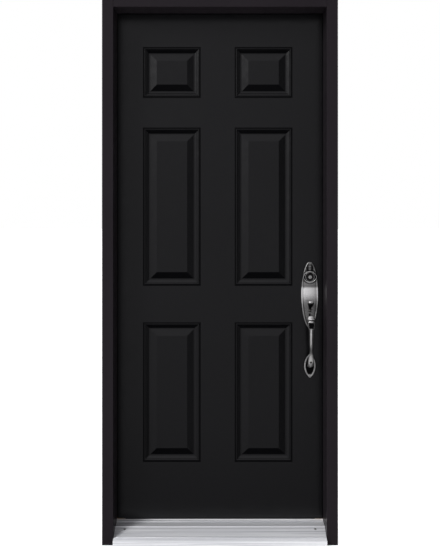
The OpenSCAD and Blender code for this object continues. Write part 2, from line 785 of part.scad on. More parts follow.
module panel_relief() {             // room for both skins' panels in the core
    inner = sunk(MOULDING, skin_t + glue);
    for (panel = PANELS) {
        panel_hollow(panel, inner, -1);
        to_inside_face() panel_hollow(panel, inner, -1);
    }
}

module hinge_stile() {
    color("#b58f5c") difference() {
        block([-core_x, -inner_core_x], [core_y, core_y + core_t], [slab_z, slab_top]);
        hinge_mortises();
    }
}

module latch_stile() {
    color("#b58f5c") difference() {
        block([inner_core_x, core_x], [core_y, core_y + core_t], [slab_z, slab_top]);
        lock_bores();
    }
}

module top_rail() {
    color("#b58f5c") block([-inner_core_x + glue, inner_core_x - glue], [core_y, core_y + core_t],
        [slab_top - top_core_h, slab_top]);
}

sweep_kerf_half = 1.5;
sweep_kerf_d = 9;
sweep_kerf_ys = [mid_y - 11, mid_y + 11];

module sweep_kerfs() {
    for (y = sweep_kerf_ys) block([-slab_x - 1, slab_x + 1],
        [y - sweep_kerf_half, y + sweep_kerf_half], [slab_z - 1, slab_z + sweep_kerf_d]);
}

module bottom_rail() {
    color("#77726a") difference() {
        block([-inner_core_x + glue, inner_core_x - glue], [core_y, core_y + core_t],
            [slab_z, slab_z + bottom_core_h]);
        sweep_kerfs();
    }
}

module lock_block() {
    color("#c19b68") difference() {
        block([inner_core_x - lock_block_w, inner_core_x - glue], [core_y, core_y + core_t],
            [lock_block_foot, lock_block_head]);
        lock_bores();
        panel_relief();
    }
}

module foam_core() {
    color("#e7dcb2") difference() {
        block([-inner_core_x + glue, inner_core_x - glue], [core_y, core_y + core_t],
            [slab_z + bottom_core_h + glue, slab_top - top_core_h - glue]);
        block([inner_core_x - lock_block_w - glue, slab_x], [slab_y, slab_y + slab_t],
            [lock_block_foot - glue, lock_block_head + glue]);
        panel_relief();
    }
}

module door_sweep() {
    base = 1.2;
    fin = 0.8;
    reach = inner_core_x - loose;
    low = sill_h + loose;
    color("#1b1b1c") {
        block([-reach, reach], [core_y + 1, core_y + core_t - 1], [slab_z - loose - base, slab_z - loose]);
        for (y = sweep_kerf_ys) block([-reach, reach], [y - 1, y + 1],
            [slab_z - loose - base/2, slab_z + sweep_kerf_d - 1]);
        for (i = [-2:2]) block([-reach, reach], [mid_y + 8*i - fin/2, mid_y + 8*i + fin/2],
            [low, slab_z - loose - base/2]);
    }
}

// ---- Latch and deadbolt

module bolt_section(room = 0) {     // the section of either bolt, drawn along local Z
    intersection() {
        circle(r = bolt_r + room);
        square([4*bolt_r, 2*(bolt_half_t + room)], center = true);
    }
}

module bolt_case(back, hub_r) {     // tube, cheeks and faceplate of a bolt, back from the slab's edge
    tube_end = -backset + 18.5;
    difference() {
        union() {
            translate([-faceplate_h/2, -faceplate_w/2, -faceplate_t])
                cube([faceplate_h, faceplate_w, faceplate_t]);
            difference() {
                translate([0, 0, tube_end]) cylinder(r = case_r, h = -faceplate_t - tube_end + eps);
                translate([0, 0, tube_end - 1]) cylinder(r = case_bore_r, h = -faceplate_t - tube_end + 1);
            }
            for (s = [-1, 1]) translate([-cheek_half_h, s*(cheek_gap + cheek_t/2) - cheek_t/2, -back])
                cube([2*cheek_half_h, cheek_t, back + tube_end + 4]);
        }
        translate([0, 0, -faceplate_t - 1]) linear_extrude(faceplate_t + 2) bolt_section(slide_clear);
        translate([0, 3*cheek_gap, -backset]) rotate([90, 0, 0])
            cylinder(r = hub_r + pin_clear, h = 6*cheek_gap);
        for (s = [-1, 1]) translate([s*plate_screw_z, 0, 0]) screw_hole(18, 1.9, 3.4);
    }
}

module latch_case() color("#a39f96") latch_edge(latch_z) bolt_case(backset + 9, latch_hub_r);
module deadbolt_case() color("#a39f96") latch_edge(bolt_z) bolt_case(backset + 9, bolt_hub_r);

module faceplate_screws() {
    color("#a39f96") for (z = [latch_z, bolt_z], s = [-1, 1]) latch_edge(z)
        translate([s*plate_screw_z, 0, 0]) screw(18, 1.9, 3.4);
}

hook_t = 3;
module latch_bolt() {               // bolt, strap and the hook behind the cam's lug
    color("#b9b5ab") {
        latch_edge(latch_z) difference() {
            translate([0, 0, -bolt_back + latch_throw]) linear_extrude(bolt_back) bolt_section();
            translate([0, -bolt_half_t - 1, latch_throw]) rotate([-45, 0, 0])
                translate([-2*bolt_r, -20, 0]) cube([4*bolt_r, 20 + 1, 30]);
        }
        block([lock_x - lug_half - 0.5 - hook_t, slab_x - bolt_back + latch_throw + 1],
            [mid_y + 1.8, mid_y + 3.8], [latch_z + 7, latch_z + 10]);
        block([lock_x - lug_half - 0.5 - hook_t, lock_x - lug_half - 0.5],
            [mid_y - 1.5, mid_y + 3.8], [latch_z + 7, latch_z + 16.5]);
    }
}

module latch_cam() {                // hub with the lug that draws the latch and the arm that the thumb lifts
    color("#8f8b82") difference() {
        union() {
            across(lock_x, mid_y, latch_z, latch_hub_r, hub_half);
            block([lock_x - lug_half, lock_x + lug_half], [mid_y - 1.5, mid_y + 1.5],
                [latch_z, latch_z + lug_r]);
            block([lock_x, lock_x + lift_arm], [mid_y - hub_half - 5, mid_y - hub_half + 1],
                [latch_z - 1.5, latch_z + 1.5]);
            across(lock_x, mid_y - hub_half - 2, latch_z, latch_hub_r, 3);
        }
        block([lock_x - spindle_s/2 - snug, lock_x + spindle_s/2 + snug], [mid_y - hub_half - 10, jamb_depth],
            [latch_z - spindle_s/2 - snug, latch_z + spindle_s/2 + snug]);
    }
}

module spindle() {
    color("#8f8b82") block([lock_x - spindle_s/2, lock_x + spindle_s/2],
        [mid_y - hub_half - 4, jamb_depth + 30], [latch_z - spindle_s/2, latch_z + spindle_s/2]);
}

module deadbolt() {                 // bolt with the fork that the crank moves
    pin_at = lock_x - crank_r*sin(45);
    color("#b9b5ab") {
        latch_edge(bolt_z) translate([0, 0, -bolt_back - 6]) linear_extrude(bolt_back + 6 - 0.2) bolt_section();
        block([pin_at - fork_out, slab_x - bolt_back - 5], [mid_y - 1.3, mid_y + 1.3],
            [bolt_z + 6, bolt_z + 9.5]);
        for (s = [-1, 1]) block([pin_at + (s < 0 ? -fork_out : fork_gap), pin_at + (s < 0 ? -fork_gap : fork_out)],
            [mid_y - 1.3, mid_y + 1.3], [bolt_z + 6, bolt_z + 19]);
    }
}

module deadbolt_cam() {             // hub, crank arm and pin, at the drawn-back end of their quarter turn
    color("#8f8b82") difference() {
        union() {
            across(lock_x, mid_y, bolt_z, bolt_hub_r, hub_half);
            translate([lock_x, 0, bolt_z]) rotate([0, -45, 0]) {
                block([-2.5, 2.5], [mid_y - 3.7, mid_y - 1.7], [0, crank_r + crank_pin_r]);
                across(0, mid_y - 0.5, crank_r, crank_pin_r, 2);
            }
        }
        translate([lock_x, 0, bolt_z]) block([-tail_t/2 - snug, tail_t/2 + snug], [slab_y, jamb_depth],
            [-tail_w/2 - snug, tail_w/2 + snug]);
    }
}

// ---- Outside handleset

cylinder_body_r = 13;
cylinder_depth = slab_t/2 - hub_half - 0.75;   // how far the cylinder reaches into the slab, short of the cam
wall = 3;                           // wall of the cast plates

module escutcheon() {
    slot_low = thumb_rise - 13;
    slot_high = thumb_rise + 9;
    color("#77736d") difference() {
        union() {
            outside(lock_x, plate_z) {
                oval(plate_w, plate_h, plate_t*0.55, 1);
                translate([0, 0, plate_t*0.55 - eps]) oval(plate_w - 4, plate_h - 12, plate_t*0.45, 4);
            }
            outside(lock_x, bolt_z) rotate([0, 0, 90]) almond(44, 52, plate_t + 3, 2);
            outside(lock_x, latch_z + grip_top) cylinder(r = grip_boss_r, h = plate_t);
            for (z = [latch_z, bolt_z], s = [-1, 1]) outside(lock_x + s*post_x, z + post_z)
                translate([0, 0, -12]) cylinder(r = post_r, h = 13 + wall);
        }
        difference() {
            outside(lock_x, plate_z) translate([0, 0, -1]) oval(plate_w - 4*wall, plate_h - 10*wall, plate_t - wall);
            for (z = [latch_z, bolt_z], s = [-1, 1]) outside(lock_x + s*post_x, z + post_z)
                translate([0, 0, -2]) cylinder(r = post_r, h = plate_t + 2);
            for (s = [0, 1]) translate([lock_x, 0, 0]) mirror([s, 0, 0])
                block([thumb_stem_half + 0.6, thumb_stem_half + 3.6],
                    [slab_y - plate_t, slab_y + 1],
                    [latch_z + thumb_rise - 4, latch_z + thumb_rise + 4]);
            outside(lock_x, bolt_z) translate([0, 0, -2]) cylinder(r = cylinder_body_r + 2.5, h = plate_t);
            outside(lock_x, latch_z + grip_top) translate([0, 0, -2]) cylinder(r = 6, h = plate_t);
        }
        outside(lock_x, bolt_z) translate([0, 0, -2]) cylinder(r = cylinder_body_r + snug, h = plate_t + 9);
        outside(lock_x, latch_z) translate([-thumb_stem_half - 0.6, slot_low, -2])
            cube([2*thumb_stem_half + 1.2, slot_high - slot_low, plate_t + 6]);
        translate([lock_x - thumb_stem_half - 3.5, slab_y - thumb_pivot_out, latch_z + thumb_rise])
            rotate([0, 90, 0]) cylinder(r = thumb_pin_r + snug, h = 2*thumb_stem_half + 7);
        for (z = [latch_z, bolt_z], s = [-1, 1]) outside(lock_x + s*post_x, z + post_z)
            translate([0, 0, -13]) cylinder(r = through_r + snug, h = 13 + wall);
        outside(lock_x, latch_z + grip_top) translate([0, 0, -3]) cylinder(r = 2 + snug, h = plate_t + 6);
    }
}

module cylinder_housing() {         // collar and body of the lock cylinder
    collar_t = plate_t + 5.5;
    color("#55524e") difference() {
        outside(lock_x, bolt_z) {
            translate([0, 0, plate_t + 3 + snug]) cylinder(r1 = collar_r, r2 = collar_r - 1.5, h = 2.5);
            translate([0, 0, -cylinder_depth]) cylinder(r = cylinder_body_r, h = cylinder_depth + collar_t - 1);
        }
        outside(lock_x, bolt_z) translate([0, 0, -cylinder_depth - 1])
            cylinder(r = plug_r + pin_clear, h = cylinder_depth + collar_t + 3);
    }
}

module key_plug() {
    front = plate_t + 6;
    color("#8a867f") outside(lock_x, bolt_z) difference() {
        translate([0, 0, -cylinder_depth]) cylinder(r = plug_r, h = cylinder_depth + front);
        translate([-1.1, -4, front - 22]) cube([2.2, 8, 23]);
        translate([-1.1, -4, front - 22]) cube([3.2, 2.6, 23]);
    }
}

module thumb_pin() {
    half = thumb_stem_half + 3.4;
    color("#8f8b82") translate([lock_x - half, slab_y - thumb_pivot_out, latch_z + thumb_rise])
        rotate([0, 90, 0]) cylinder(r = thumb_pin_r, h = 2*half);
}

// The thumb piece's centre line outside the slab, as [distance out, height above its pivot]
function thumb_path(t) = let (a = [0, 0], b = [12, 3], c = [26, 13], d = [44, 34])
    pow(1 - t, 3)*a + 3*t*pow(1 - t, 2)*b + 3*t*t*(1 - t)*c + pow(t, 3)*d;

module thumb_piece() {              // spoon-shaped lever with the tail that lifts the latch's arm
    steps = 10;
    y0 = slab_y - thumb_pivot_out;
    z0 = latch_z + thumb_rise;
    tip_y = mid_y - hub_half - 3.2;
    tail_x = [7, 10];
    ring = function (t) let (p = thumb_path(t), half = t < 0.35 ? thumb_stem_half
            : thumb_stem_half + (12 - thumb_stem_half)*(1 - cos(180*min(1, (t - 0.35)/0.5)))/2, h = 2.6 - 1.2*t)
        [for (i = [0:11]) let (a = 30*i)
            [lock_x + half*cos(a), y0 - p[0] + h*sin(a)*0.45, z0 + p[1] + h*sin(a)]];
    color("#6d6963") difference() {
        union() {
            loft([for (i = [0:steps]) ring(i/steps)]);
            translate([lock_x - thumb_stem_half, y0, z0]) rotate([0, 90, 0])
                cylinder(r = 3.4, h = 2*thumb_stem_half);
            block([lock_x + 1, lock_x + thumb_stem_half], [y0, slab_y + 4], [z0 - 2, z0 + 2]);
            block([lock_x + 1, lock_x + tail_x[1]], [slab_y + 1, slab_y + 4], [z0 - 4, z0 + 2]);
            block([lock_x + tail_x[0], lock_x + tail_x[1]], [slab_y + 1, slab_y + 4], [latch_z - 5.5, z0 - 3]);
            block([lock_x + tail_x[0], lock_x + tail_x[1]], [slab_y + 1, tip_y], [latch_z - 5.5, latch_z - 2.5]);
        }
        translate([lock_x - thumb_stem_half - 1, y0, z0]) rotate([0, 90, 0])
            cylinder(r = thumb_pin_r + pin_clear, h = 2*thumb_stem_half + 2);
    }
}

// The grip's centre line, as [distance out from the slab, height above the latch's axis]
GRIP = [[[plate_t + snug, grip_top], [24, grip_top], [38, -11], [grip_out - 12, -20]],
    [[grip_out - 12, -20], [grip_out - 2, -27], [grip_out + 1, -42], [grip_out, -64]],
    [[grip_out, -64], [grip_out - 3, -118], [grip_out - 8, -grip_drop + 50], [36, -grip_drop + 18]],
    [[36, -grip_drop + 18], [27, -grip_drop + 4], [16, -grip_drop], [rosette_t - 3 + snug, -grip_drop]]];
function bezier(p, t) = pow(1 - t, 3)*p[0] + 3*t*pow(1 - t, 2)*p[1] + 3*t*t*(1 - t)*p[2] + pow(t, 3)*p[3];
function bezier_way(p, t) = unit(pow(1 - t, 2)*(p[1] - p[0]) + 2*t*(1 - t)*(p[2] - p[1])
    + t*t*(p[3] - p[2]));
GRIP_HALF_WIDTHS = [[0, 9], [0.5, 12], [1, 14.5], [1.5, 13], [2, 11], [2.5, 9.5], [3, 8.4], [3.7, 9.6],
    [4, 10.5]];

module grip() {
    steps = 7;
    sides = 16;
    ring = function (k, t) let (p = bezier(GRIP[k], t), way = bezier_way(GRIP[k], t),
            half = lookup(k + t, GRIP_HALF_WIDTHS), thick = 0.62*half)
        [for (i = [0:sides - 1]) let (a = 360*i/sides)
            [lock_x + half*cos(a), slab_y - p[0] + thick*sin(a)*way[1], latch_z + p[1] + thick*sin(a)*way[0]]];
    color("#77736d") difference() {
        loft(concat([for (k = [0:3], i = [0:steps - 1]) ring(k, i/steps)], [ring(3, 1)]));
        outside(lock_x, latch_z + grip_top) translate([0, 0, -1]) cylinder(r = 2 + snug, h = plate_t + 9);
        outside(lock_x, grip_foot_z) translate([0, 0, -1]) cylinder(r = through_r + snug, h = 16);
    }
}

module lower_rosette() {
    color("#77736d") difference() {
        outside(lock_x, grip_foot_z) almond(rosette_w, rosette_h, rosette_t, 3);
        outside(lock_x, grip_foot_z) translate([0, 0, rosette_t - 3])
            almond(rosette_w - 14, rosette_h - 34, 4);
        outside(lock_x, grip_foot_z) translate([0, 0, -1]) cylinder(r = through_r + snug, h = rosette_t);
    }
}

module grip_screw() {               // the screws that hold the grip's two ends
    low_l = slab_t + rosette_t + 4;
    color("#8f8b82") {
        outside(lock_x, grip_foot_z) translate([0, 0, -slab_t]) cylinder(r = through_r, h = low_l);
        inside(lock_x, grip_foot_z) cylinder(r1 = 7, r2 = 6, h = 2.5);
        outside(lock_x, latch_z + grip_top) cylinder(r = 2, h = plate_t + 7);
        outside(lock_x, latch_z + grip_top) translate([0, 0, -grip_head_t])
            cylinder(r = grip_head_r, h = grip_head_t);
    }
}

// ---- Inside hardware

module rose(bore_r) {               // a domed round rose with a hollow back, local Z outwards
    difference() {
        union() {
            cylinder(r1 = rose_r, r2 = rose_r - 1, h = 5);
            translate([0, 0, 5]) cylinder(r1 = rose_r - 1, r2 = rose_r - 6, h = 3);
        }
        difference() {
            translate([0, 0, -1]) cylinder(r = rose_r - 3, h = 5);
            cylinder(r = bore_r + 3, h = 5);
            for (s = [-1, 1]) translate([s*post_x, post_z, 0]) cylinder(r = 5, h = 5);
        }
        translate([0, 0, -1]) cylinder(r = bore_r, h = 11);
        for (s = [-1, 1]) translate([s*post_x, post_z, 8]) screw_hole(10, through_r, 4.4);
    }
}

module through_screws() {           // two screws from a rose to the escutcheon's posts
    for (s = [-1, 1]) translate([s*post_x, post_z, 8]) screw(8 + slab_t + 2, through_r, 4.4);
}

module inner_rose() color("#77736d") inside(lock_x, latch_z) rose(shank_r + pin_clear);
module inner_rose_screws() color("#8f8b82") inside(lock_x, latch_z) through_screws();
module deadbolt_inner_plate() color("#77736d") inside(lock_x, bolt_z) rose(shank_r/2 + pin_clear);
module deadbolt_plate_screws() color("#8f8b82") inside(lock_x, bolt_z) through_screws();

module inner_knob() {               // a turned knob on its shank, with a square hole for the spindle
    ball_r = 27;
    squash = 0.62;
    middle = knob_out - ball_r*squash;
    outline = concat([[0, 2], [shank_r, 2], [shank_r, 14], [8, 20], [8, 26], [12, middle - 14]],
        [for (a = [-50:10:90]) [ball_r*cos(a), middle + ball_r*squash*sin(a)]]);
    color("#77736d") inside(lock_x, latch_z) difference() {
        rotate_extrude() polygon(outline);
        translate([-spindle_s/2 - snug, -spindle_s/2 - snug, -1])
            cube([spindle_s + 2*snug, spindle_s + 2*snug, 32]);
    }
}

module thumb_turn() {               // paddle, shank and the flat tailpiece that turns the deadbolt's cam
    tail_back = slab_t - cylinder_depth - 1.5;
    color("#77736d") inside(lock_x, bolt_z) {
        translate([0, 0, -0.2]) cylinder(r = shank_r/2, h = 14);
        translate([0, 0, 8.3]) cylinder(r1 = 13, r2 = 11, h = 5);
        intersection() {
            translate([-3, -19, 12]) cube([6, 38, 18]);
            translate([-4, 0, 12]) rotate([0, 90, 0]) cylinder(r = 19, h = 8);
        }
        translate([-tail_t/2, -tail_w/2, -tail_back]) cube([tail_t, tail_w, tail_back + 2]);
    }
}

hinge_jamb();
latch_jamb();
head_jamb();
hinge_side_seal();
latch_side_seal();
head_seal();
corner_pads();
sill_substrate();
sill_deck();
threshold_cap();
cap_screws();
deck_screws();
frame_screws();
latch_strike();
deadbolt_strike();
strike_boxes();
strike_screws();
frame_hinge_leaves();
frame_hinge_screws();
hinge_pins();
exterior_skin();
interior_skin();
hinge_stile();
latch_stile();
top_rail();
bottom_rail();
lock_block();
foam_core();
door_sweep();
door_hinge_leaves();
door_hinge_screws();
latch_case();
deadbolt_case();
faceplate_screws();
escutcheon();
cylinder_housing();
thumb_pin();
grip();
lower_rosette();
grip_screw();
inner_rose();
inner_rose_screws();
deadbolt_inner_plate();
deadbolt_plate_screws();
thumb_piece();
latch_bolt();
inner_knob();
spindle();
latch_cam();
deadbolt();
thumb_turn();
deadbolt_cam();
key_plug();
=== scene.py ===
"""Black panelled front door in its frame: finishes, the detailed handleset, light and camera."""
import json
import math

import bmesh
import bpy
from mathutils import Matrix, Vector


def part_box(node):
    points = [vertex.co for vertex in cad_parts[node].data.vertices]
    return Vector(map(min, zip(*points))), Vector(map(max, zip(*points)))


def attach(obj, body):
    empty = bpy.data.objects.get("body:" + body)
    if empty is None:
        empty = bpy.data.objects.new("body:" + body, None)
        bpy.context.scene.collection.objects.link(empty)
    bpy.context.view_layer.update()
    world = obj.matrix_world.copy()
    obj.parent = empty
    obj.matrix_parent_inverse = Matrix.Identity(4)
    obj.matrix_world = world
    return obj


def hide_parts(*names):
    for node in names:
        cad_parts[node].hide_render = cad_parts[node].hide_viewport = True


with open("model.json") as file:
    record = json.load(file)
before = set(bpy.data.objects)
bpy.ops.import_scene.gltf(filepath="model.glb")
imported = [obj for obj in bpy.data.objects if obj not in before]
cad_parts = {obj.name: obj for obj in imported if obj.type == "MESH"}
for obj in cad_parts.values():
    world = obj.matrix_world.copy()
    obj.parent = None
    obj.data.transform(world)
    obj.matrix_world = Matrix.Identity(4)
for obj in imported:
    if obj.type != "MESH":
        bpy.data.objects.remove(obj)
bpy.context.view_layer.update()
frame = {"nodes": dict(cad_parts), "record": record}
nodes = frame["nodes"]

# ---- Places, all taken from the frame -------------------------------------------------------

skin_low, skin_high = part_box("exterior_skin")
slab_y = skin_low.y                      # the slab's outside face
lock_x = sum(v.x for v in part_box("key_plug")) / 2
bolt_z = sum(v.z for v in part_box("key_plug")) / 2
latch_z = sum(v.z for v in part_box("spindle")) / 2
plate_low, plate_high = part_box("escutcheon")
rosette_low, rosette_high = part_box("lower_rosette")
grip_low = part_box("grip")[0]
thumb_low, thumb_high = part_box("thumb_piece")
pin_low, pin_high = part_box("thumb_pin")


# ---- Material helpers ------------------------------------------------------------------------

def map_range(tree, value, low, high, from_low, from_high, shape="LINEAR"):
    node = tree.nodes.new("ShaderNodeMapRange")
    node.interpolation_type = shape
    numbers = {"From Min": from_low, "From Max": from_high, "To Min": low, "To Max": high}
    for key, number in numbers.items():
        node.inputs[key].default_value = number
    tree.links.new(value, node.inputs["Value"])
    return node.outputs["Result"]


class Nodes:
    """A small shorthand for building one material's nodes."""

    def __init__(self, name):
        self.material = bpy.data.materials.new(name)
        self.material.use_nodes = True
        self.tree = self.material.node_tree
        self.tree.nodes.clear()
        self.shader = self.add("ShaderNodeBsdfPrincipled")
        out = self.add("ShaderNodeOutputMaterial")
        self.link(self.shader.outputs[0], out.inputs["Surface"])
        self.coords = self.add("ShaderNodeTexCoord").outputs["Object"]

    def add(self, kind, **settings):
        node = self.tree.nodes.new(kind)
        for key, value in settings.items():
            setattr(node, key, value)
        return node

    def link(self, a, b):
        self.tree.links.new(a, b)

    def stretched(self, scale):
        mapping = self.add("ShaderNodeMapping")
        mapping.inputs["Scale"].default_value = scale
        self.link(self.coords, mapping.inputs["Vector"])
        return mapping.outputs[0]

    def noise(self, scale, detail=3.0, roughness=0.5, stretch=None):
        node = self.add("ShaderNodeTexNoise")
        node.inputs["Scale"].default_value = scale
        node.inputs["Detail"].default_value = detail
        node.inputs["Roughness"].default_value = roughness
        self.link(self.stretched(stretch) if stretch else self.coords, node.inputs["Vector"])
        return node.outputs["Fac"]

    def ramp(self, value, stops):
        node = self.add("ShaderNodeValToRGB")
        ramp = node.color_ramp
        while len(ramp.elements) < len(stops):
            ramp.elements.new(0.5)
        for element, (place, colour) in zip(ramp.elements, stops):
            element.position = place
            element.color = (*colour, 1) if len(colour) == 3 else colour
        self.link(value, node.inputs["Fac"])
        return node.outputs["Color"]

    def span(self, value, low, high, from_low=0.0, from_high=1.0):
        return map_range(self.tree, value, low, high, from_low, from_high)

    def bump(self, *layers):
        """Layers are (height output, strength, distance in metres)."""
        below = None
        for height, strength, distance in layers:
            node = self.add("ShaderNodeBump")
            node.inputs["Strength"].default_value = strength
            node.inputs["Distance"].default_value = distance
            self.link(height, node.inputs["Height"])
            if below:
                self.link(below, node.inputs["Normal"])
            below = node.outputs["Normal"]
        self.link(below, self.shader.inputs["Normal"])

    def set(self, **values):
        for key, value in values.items():
            self.shader.inputs[key.replace("_", " ")].default_value = value


def grey(value, tint=(1.0, 1.0, 1.0)):
    return tuple(value * t for t in tint)


def paint(name, dark, light, rough, gloss, grain=None, painted_shade_share=None):
    """Satin black paint: fine orange peel, and on wood a faint grain that runs with the piece.
    Given a share as the last argument, faces that look down keep only that share of the gloss and narrow
    grooves lose it: painted shade that stands in for a dark ground below and for shade in the grooves."""
    m = Nodes(name)
    patches = m.noise(2.2, 2.0)
    m.link(m.ramp(patches, [(0.3, dark), (0.7, light)]), m.shader.inputs["Base Color"])
    m.link(m.span(m.noise(38.0, 4.0), rough[0], rough[1], 0.3, 0.7), m.shader.inputs["Roughness"])
    # Painted shade: the gloss falls on faces that look down and in narrow grooves found by ambient
    # occlusion.
    if painted_shade_share:
        up = m.add("ShaderNodeSeparateXYZ")
        m.link(m.add("ShaderNodeNewGeometry").outputs["True Normal"], up.inputs[0])
        groove_shade = m.add("ShaderNodeAmbientOcclusion", samples=8)
        groove_shade.inputs["Distance"].default_value = 0.011
        painted_shade_gloss = m.add("ShaderNodeMath", operation="MULTIPLY")
        m.link(m.span(up.outputs["Z"], gloss * painted_shade_share, gloss, -0.13, -0.03), painted_shade_gloss.inputs[0])
        m.link(m.span(groove_shade.outputs["AO"], 0.02, 1.0, 0.48, 0.86), painted_shade_gloss.inputs[1])
        m.link(painted_shade_gloss.outputs[0], m.shader.inputs["Specular IOR Level"])
    layers = [(m.noise(620.0, 2.0), 0.06, 0.0002), (m.noise(90.0, 2.0), 0.03, 0.0004)]
    if grain:
        layers.append((m.noise(1.0, 5.0, 0.6, stretch=grain), 0.2, 0.0004))
    m.bump(*layers)
    m.set(Specular_IOR_Level=gloss)
    return m.material


def brushed(name, dark, light, rough, stretch, strength, fleck=None):
    """Metal with fine lines along one way and a slow change of tone."""
    m = Nodes(name)
    lines = m.noise(1.0, 4.0, 0.65, stretch=stretch)
    m.link(m.ramp(lines, [(0.32, dark), (0.68, light)]), m.shader.inputs["Base Color"])
    m.link(m.span(m.noise(24.0, 4.0), rough[0], rough[1], 0.3, 0.7), m.shader.inputs["Roughness"])
    layers = [(lines, strength, 0.0002)]
    if fleck:
        layers.append((m.noise(fleck, 3.0), 0.12, 0.0003))
    m.bump(*layers)
    m.set(Metallic=1.0)
    return m.material


def extruded(name):
    """Mill-finish aluminium: broad and fine bands that run along the sill."""
    m = Nodes(name)
    broad = m.noise(1.0, 2.0, 0.5, stretch=(0.7, 75.0, 75.0))
    m.link(m.ramp(broad, [(0.34, (0.66, 0.67, 0.70)), (0.46, (0.97, 0.98, 1.0)), (0.52, (0.74, 0.75, 0.78)),
                          (0.64, (0.97, 0.98, 1.0))]), m.shader.inputs["Base Color"])
    fine = m.noise(1.0, 4.0, 0.65, stretch=(2.5, 700.0, 700.0))
    m.link(m.span(fine, 0.36, 0.52), m.shader.inputs["Roughness"])
    m.bump((fine, 0.3, 0.0002), (broad, 0.25, 0.0012))
    m.set(Metallic=0.35)
    return m.material


def moulded(name, dark, light, rough, grain_scale, strength):
    m = Nodes(name)
    m.link(m.ramp(m.noise(14.0, 4.0), [(0.3, dark), (0.7, light)]), m.shader.inputs["Base Color"])
    m.link(m.span(m.noise(60.0, 2.0), rough[0], rough[1], 0.3, 0.7), m.shader.inputs["Roughness"])
    m.bump((m.noise(grain_scale, 3.0), strength, 0.0004))
    return m.material


def bare_wood(name):
    m = Nodes(name)
    grain = m.noise(1.0, 6.0, 0.6, stretch=(90.0, 90.0, 3.5))
    browns = [(0.3, (0.36, 0.21, 0.095)), (0.55, (0.56, 0.37, 0.19)), (0.75, (0.66, 0.47, 0.27))]
    m.link(m.ramp(grain, browns), m.shader.inputs["Base Color"])
    m.link(m.span(grain, 0.5, 0.7), m.shader.inputs["Roughness"])
    m.bump((grain, 0.4, 0.0006))
    return m.material


def patina_and_painted_light(name, low, high, rough_low, rough_high):
    """Cast metal whose relief is rubbed bright on its ridges and black with patina in its hollows, with
    painted highlights, painted reflections and painted shade laid into the same tone.
    The mesh carries that tone as a float vertex attribute, which the Attribute node below reads."""
    m = Nodes(name)
    wear_and_light = m.add("ShaderNodeAttribute", attribute_name="wear_and_light").outputs["Fac"]
    mottle = m.span(m.noise(420.0, 5.0, 0.65), -0.16, 0.16, 0.25, 0.75)
    total = m.add("ShaderNodeMath", operation="ADD", use_clamp=True)
    m.link(wear_and_light, total.inputs[0])
    m.link(mottle, total.inputs[1])
    stops = [(0.10, low), (0.40, grey(0.10, high)), (0.62, grey(0.32, high)), (0.94, high)]
    m.link(m.ramp(total.outputs[0], stops), m.shader.inputs["Base Color"])
    m.link(m.span(total.outputs[0], rough_low, rough_high), m.shader.inputs["Roughness"])
    # Gloss follows the same tone, so the painted shade loses its sheen along with the black patina.
    m.link(m.span(total.outputs[0], 0.02, 0.5, 0.0, 0.5), m.shader.inputs["Specular IOR Level"])
    strokes = m.noise(1.0, 3.0, 0.6, stretch=(1500.0, 60.0, 60.0))
    m.bump((m.noise(900.0, 3.0), 0.12, 0.0002), (strokes, 0.12, 0.0001))
    m.set(Metallic=0.7)
    return m.material


# ---- Materials -------------------------------------------------------------------------------

BLACK_LOW, BLACK_HIGH = (0.0015, 0.0015, 0.0018), (0.0020, 0.0020, 0.0024)
FRAME_LOW, FRAME_HIGH = (0.0120, 0.0097, 0.0118), (0.0142, 0.0117, 0.0140)

# The door's paint carries painted shade in its gloss: less on faces that look down and in the panels'
# grooves.
door_paint = paint("door_paint", BLACK_LOW, BLACK_HIGH, (0.20, 0.27), 0.46, painted_shade_share=0.12)
upright_paint = paint("frame_paint_upright", FRAME_LOW, FRAME_HIGH, (0.30, 0.38), 0.09,
                       grain=(260.0, 260.0, 5.0))
level_paint = paint("frame_paint_level", FRAME_LOW, FRAME_HIGH, (0.30, 0.38), 0.09,
                    grain=(5.0, 260.0, 260.0))
seal_vinyl = moulded("seal_vinyl", (0.006, 0.006, 0.007), (0.010, 0.010, 0.011), (0.55, 0.7), 700.0, 0.25)
composite = moulded("grey_composite", (0.035, 0.034, 0.032), (0.06, 0.058, 0.055), (0.6, 0.8), 260.0, 0.3)
cap_material = moulded("light_composite", (0.90, 0.90, 0.92), (0.95, 0.95, 0.97), (0.45, 0.6), 240.0, 0.3)
foam = moulded("core_foam", (0.62, 0.55, 0.36), (0.74, 0.67, 0.46), (0.8, 0.95), 420.0, 0.6)
aluminium = extruded("sill_aluminium")
zinc = brushed("zinc_steel", (0.42, 0.42, 0.42), (0.60, 0.60, 0.59), (0.28, 0.42),
               (500.0, 500.0, 500.0), 0.2, fleck=900.0)
nickel = brushed("satin_nickel", (0.36, 0.35, 0.32), (0.52, 0.50, 0.46), (0.26, 0.40),
                 (600.0, 600.0, 25.0), 0.2)
softwood = bare_wood("bare_softwood")
pewter = brushed("pewter", (0.10, 0.096, 0.092), (0.22, 0.212, 0.205), (0.26, 0.42),
                 (900.0, 900.0, 60.0), 0.2, fleck=500.0)
turned = brushed("turned_metal", (0.018, 0.017, 0.017), (0.045, 0.043, 0.042), (0.25, 0.38),
                 (40.0, 900.0, 900.0), 0.15)
plug_metal = brushed("plug_metal", (0.70, 0.69, 0.67), (0.92, 0.91, 0.89), (0.22, 0.34),
                     (900.0, 900.0, 40.0), 0.15)
cast = patina_and_painted_light("antique_pewter_painted_light", (0.004, 0.004, 0.0045), (0.95, 0.94, 0.93), 0.50, 0.28)

